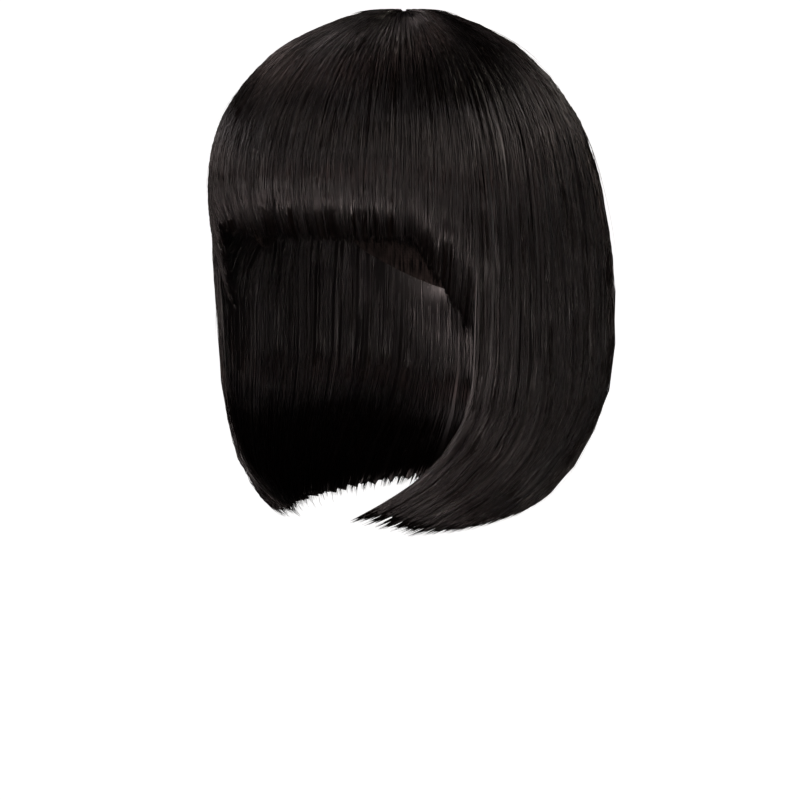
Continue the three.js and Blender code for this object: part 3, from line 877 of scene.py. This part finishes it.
# Side hair
# Long straight hair on each side, sewn to the side of the cap and heat-set to curl in and forward at the
# ends. The lining is the inner layer of the same hair, which the opening shows.
for side, start, end in (("left", EDGE_ANGLE, BACK_ANGLE), ("right", -BACK_ANGLE, -EDGE_ANGLE)):
    shell = hair_shell(side + "_side_hair", start, end, columns=110, rows=48)
    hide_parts(side + "_side")
    hair_strands(side + "_side_strands", start, end, count=2200, steps=15, depth=0.0024, lock_width=2.4)
    hair_strands(side + "_side_lining", start, end, count=300, steps=11, depth=0.0012, lock_width=3.4,
                 begin=0.45, from_backing=True)

# Back hair
# The fullest mass, of the same fibre, from behind one side round to the other. It hangs over the nape,
# and its rounded ends turn in.
back_start, back_end = BACK_ANGLE, 360 - BACK_ANGLE
back = hair_shell("back_hair", back_start, back_end, columns=200, rows=40)
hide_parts("back")
hair_strands("back_strands", back_start, back_end, count=2250, steps=15, depth=0.0024, lock_width=2.4)
hair_strands("back_lining", back_start, back_end, count=480, steps=9, depth=0.0012, lock_width=3.4,
             begin=0.50, from_backing=True)

# Crown whorl
# The roots of the topmost hair, gathered where it is combed out to all sides, with a small dimple in the
# middle. Each wisp turns a little round the middle as it leaves it, then lies along its comb line.
WHORL_WISPS = 260
WHORL_STEPS = 9
WHORL_HEART = 0.0006  # radius of the bare spot in the middle
WHORL_REACHES = (0.010, 0.030)  # shortest and longest wisp, from the middle
WHORL_TURN = 18  # degrees that a wisp turns in all
WHORL_TURN_RADIUS = 0.006
WHORL_ARCH = {  # how far out the first levels of the outline lie
    "radius": [0, 0.0125, 0.0312],
    "station": [0.0, 0.03, 0.08],
}
WHORL_DEPTH = 0.0006
WHORL_WIDTH = 0.0004
WHORL_ROOT_WIDTH = 0.3
WHORL_TIP_WIDTH = 0.2
WHORL_TAPER = 0.3  # share of the length in which each end reaches the full width
WHORL_TONES = (0.2, 1)

turn = np.linspace(0, 360, WHORL_WISPS, endpoint=False) + random.uniform(-1, 1, WHORL_WISPS)
reach = random.uniform(*WHORL_REACHES, WHORL_WISPS)
steps = np.linspace(0, 1, WHORL_STEPS)
radius = WHORL_HEART + (reach[:, None] - WHORL_HEART) * steps[None, :]
spiral = np.radians(turn[:, None] + WHORL_TURN * (1 - np.exp(-radius / WHORL_TURN_RADIUS)))
arch = height_at(np.interp(radius, WHORL_ARCH["radius"], WHORL_ARCH["station"]))
beside = radius * np.sin(spiral - np.radians(PARTING_ANGLE))
groove = PARTING_DEPTH * np.exp(-(beside / PARTING_WIDTH) ** 2) * (1 - smooth(radius / PARTING_LENGTH))
whorl_path = np.stack([
    radius * np.sin(spiral),
    whorl_y - radius * np.cos(spiral),
    arch + WHORL_DEPTH * random.random((WHORL_WISPS, 1)) - groove,
], -1)
whorl_outward = np.broadcast_to(np.array([0.0, 0.0, 1.0]), whorl_path.shape)
root = WHORL_ROOT_WIDTH + (1 - WHORL_ROOT_WIDTH) * smooth(steps / WHORL_TAPER)
tip = WHORL_TIP_WIDTH + (1 - WHORL_TIP_WIDTH) * smooth((1 - steps) / WHORL_TAPER)
whorl_width = np.broadcast_to(WHORL_WIDTH * root * tip, radius.shape)
whorl_tone = random.uniform(*WHORL_TONES, WHORL_WISPS)
whorl_piece = tubes("crown_whorl_strands", whorl_path, whorl_outward, whorl_width, whorl_width / 2,
                    whorl_tone, np.radians(turn) * ARC)
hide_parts("crown_whorl")

# Flyaways
# Single fibres that have sprung a little out of the combed hair, as handling and static leave them. Each
# leaves its comb line part of the way down, and bends outwards and to one side.
FLYAWAYS = 90
FLY_STEPS = 10
FLY_STARTS = (0.05, 0.85)  # shares of the way to the cut end
FLY_LENGTHS = (0.08, 0.30)  # shares of the whole height
FLY_DEPTH = 0.0006  # below the outside, where a fibre starts
FLY_SPRINGS = (0.0005, 0.0025)
FLY_TURN = 4  # degrees at most to either side
FLY_WIDTHS = (0.00012, 0.00022)
FLY_TAPER = 0.7
FLY_HEIGHT = 0.8
FLY_TONES = (0.1, 0.8)

comb = random.uniform(-180, 180, (FLYAWAYS, 1))
whole = station_at(cut_drop(comb))
leaves = whole * random.uniform(*FLY_STARTS, (FLYAWAYS, 1))
ends = np.minimum(leaves + random.uniform(*FLY_LENGTHS, (FLYAWAYS, 1)), whole)
run = np.linspace(0, 1, FLY_STEPS)[None, :]
sprung = random.uniform(*FLY_SPRINGS, (FLYAWAYS, 1)) * smooth(run)
sideways = random.uniform(-FLY_TURN, FLY_TURN, (FLYAWAYS, 1)) * run**2
fly_path, fly_outward = hair_points(comb, leaves + (ends - leaves) * run, FLY_DEPTH - sprung, sideways)
fly_width = random.uniform(*FLY_WIDTHS, (FLYAWAYS, 1)) * (1 - FLY_TAPER * run**2)
fly_tone = random.uniform(*FLY_TONES, FLYAWAYS)
tubes("flyaways", fly_path, fly_outward, fly_width, fly_width * FLY_HEIGHT, fly_tone,
      np.radians(comb[:, 0]) * ARC)
